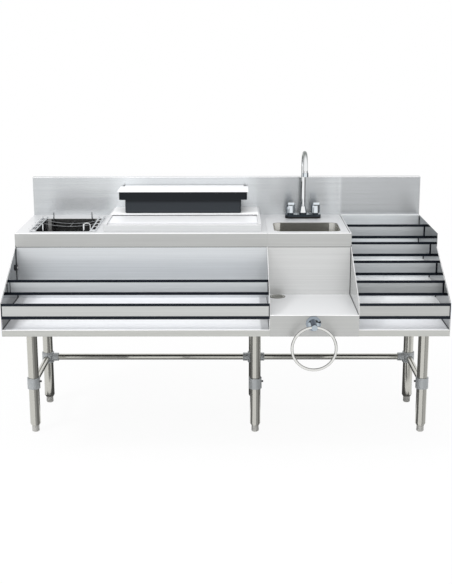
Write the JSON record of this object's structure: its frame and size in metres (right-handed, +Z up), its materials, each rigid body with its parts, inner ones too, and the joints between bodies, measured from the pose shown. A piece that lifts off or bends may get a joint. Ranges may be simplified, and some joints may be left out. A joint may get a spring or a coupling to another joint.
{
  "type": "bar sink with ice bin",
  "caption": "Underbar cocktail station in stainless steel: rinse well, ice bin with garnish caddy, hand sink with faucet, tiered bottle display and rails, on legs.",
  "frame": {"origin": "on the floor, under the middle of the outer box", "axes": "+X to the right as seen by the bartender, +Y from the bartender to the back wall, +Z up"},
  "size_m": [1.6, 0.8274, 1.079],
  "materials": {
    "sheet_steel": "satin brushed sheet",
    "lid_steel": "bright satin",
    "tube_steel": "polished tube",
    "cast_alloy": "as cast, matt",
    "chrome": "bright plated",
    "brass": "turned",
    "black_rubber": "moulded",
    "black_trim": "extruded vinyl",
    "black_plastic": "moulded, fine grain",
    "pan_plastic": "moulded",
    "foam": "rigid foam",
    "foot_steel": "turned"
  },
  "bodies": {
    "bench": {"base_tray": "sheet_steel", "left_side_panel": "sheet_steel", "right_side_panel": "sheet_steel", "sink_left_panel": "sheet_steel", "step_inner_panel": "sheet_steel", "ice_front_panel": "sheet_steel", "sink_front_panel": "sheet_steel", "rear_panel": "sheet_steel", "centre_ledge": "sheet_steel", "backsplash": "sheet_steel", "ice_counter": "sheet_steel", "sink_counter": "sheet_steel", "rinse_well": "sheet_steel", "ice_liner": "sheet_steel", "hand_sink": "sheet_steel", "left_tread": "sheet_steel", "step_tread_1": "sheet_steel", "step_tread_2": "sheet_steel", "step_tread_3": "sheet_steel", "step_tread_4": "sheet_steel", "step_back_wall": "sheet_steel", "left_rail_front": "sheet_steel", "left_rail_rear": "sheet_steel", "step_rail_1": "sheet_steel", "step_rail_2": "sheet_steel", "step_rail_3": "sheet_steel", "step_rail_4": "sheet_steel", "step_rail_5": "sheet_steel", "ice_bin_frame": "sheet_steel", "ice_bridge": "sheet_steel", "legs": "tube_steel", "braces": "tube_steel", "leg_sockets": "cast_alloy", "brace_collars": "cast_alloy", "faucet_base": "chrome", "towel_ring_post": "chrome", "gun_hole_grommet": "chrome", "drain_fittings": "chrome", "faucet_shanks": "brass", "faucet_gasket": "black_rubber", "rail_trims": "black_trim", "ice_insulation": "foam"},
    "bin_lid": {"ice_lid": "sheet_steel"},
    "caddy": {"garnish_caddy": "black_plastic", "garnish_pans": "pan_plastic"},
    "caddy_cover": {"caddy_lid": "lid_steel"},
    "basket": {"wire_basket": "chrome"},
    "strainer": {"sink_strainer": "chrome"},
    "bin_plate": {"ice_false_bottom": "sheet_steel"},
    "spout": {"faucet_spout": "chrome", "aerator": "chrome"},
    "left_lever": {"faucet_handle_left": "chrome"},
    "right_lever": {"faucet_handle_right": "chrome"},
    "hanging_ring": {"towel_ring": "chrome"},
    "glide_left_front": {"foot_left_front": "foot_steel"},
    "glide_middle_front": {"foot_middle_front": "foot_steel"},
    "glide_right_front": {"foot_right_front": "foot_steel"},
    "glide_left_back": {"foot_left_back": "foot_steel"},
    "glide_middle_back": {"foot_middle_back": "foot_steel"},
    "glide_right_back": {"foot_right_back": "foot_steel"}
  },
  "joints": [
    {"name": "bin_lid_slide", "type": "slide", "parent": "bench", "child": "bin_lid", "axis": [0, 1, 0], "range_m": [0, 0.15]},
    {"name": "bin_plate_lift", "type": "slide", "parent": "bench", "child": "bin_plate", "axis": [0, 0, 1], "range_m": [0, 0.15]},
    {"name": "caddy_lift", "type": "slide", "parent": "bench", "child": "caddy", "axis": [0, 0, 1], "range_m": [0, 0.15]},
    {"name": "caddy_cover_hinge", "type": "hinge", "parent": "caddy", "child": "caddy_cover", "pos_m": [-0.173, 0.37575, 0.9203], "axis": [-1, 0, 0], "range_deg": [0, 100]},
    {"name": "basket_lift", "type": "slide", "parent": "bench", "child": "basket", "axis": [0, 0, 1], "range_m": [0, 0.2]},
    {"name": "strainer_lift", "type": "slide", "parent": "bench", "child": "strainer", "axis": [0, 0, 1], "range_m": [0, 0.1]},
    {"name": "spout_swivel", "type": "hinge", "parent": "bench", "child": "spout", "pos_m": [0.313, 0.31375, 0.816], "axis": [0, 0, 1], "range_deg": [-90, 90]},
    {"name": "left_lever_turn", "type": "hinge", "parent": "bench", "child": "left_lever", "pos_m": [0.2622, 0.31375, 0.828], "axis": [0, 0, 1], "range_deg": [-90, 0]},
    {"name": "right_lever_turn", "type": "hinge", "parent": "bench", "child": "right_lever", "pos_m": [0.3638, 0.31375, 0.828], "axis": [0, 0, 1], "range_deg": [0, 90]},
    {"name": "ring_swing", "type": "hinge", "parent": "bench", "child": "hanging_ring", "pos_m": [0.313, -0.40475, 0.533], "axis": [-1, 0, 0], "range_deg": [-30, 110]},
    {"name": "glide_left_front_screw", "type": "slide", "parent": "bench", "child": "glide_left_front", "axis": [0, 0, -1], "range_m": [0, 0.025]},
    {"name": "glide_middle_front_screw", "type": "slide", "parent": "bench", "child": "glide_middle_front", "axis": [0, 0, -1], "range_m": [0, 0.025]},
    {"name": "glide_right_front_screw", "type": "slide", "parent": "bench", "child": "glide_right_front", "axis": [0, 0, -1], "range_m": [0, 0.025]},
    {"name": "glide_left_back_screw", "type": "slide", "parent": "bench", "child": "glide_left_back", "axis": [0, 0, -1], "range_m": [0, 0.025]},
    {"name": "glide_middle_back_screw", "type": "slide", "parent": "bench", "child": "glide_middle_back", "axis": [0, 0, -1], "range_m": [0, 0.025]},
    {"name": "glide_right_back_screw", "type": "slide", "parent": "bench", "child": "glide_right_back", "axis": [0, 0, -1], "range_m": [0, 0.025]}
  ]
}
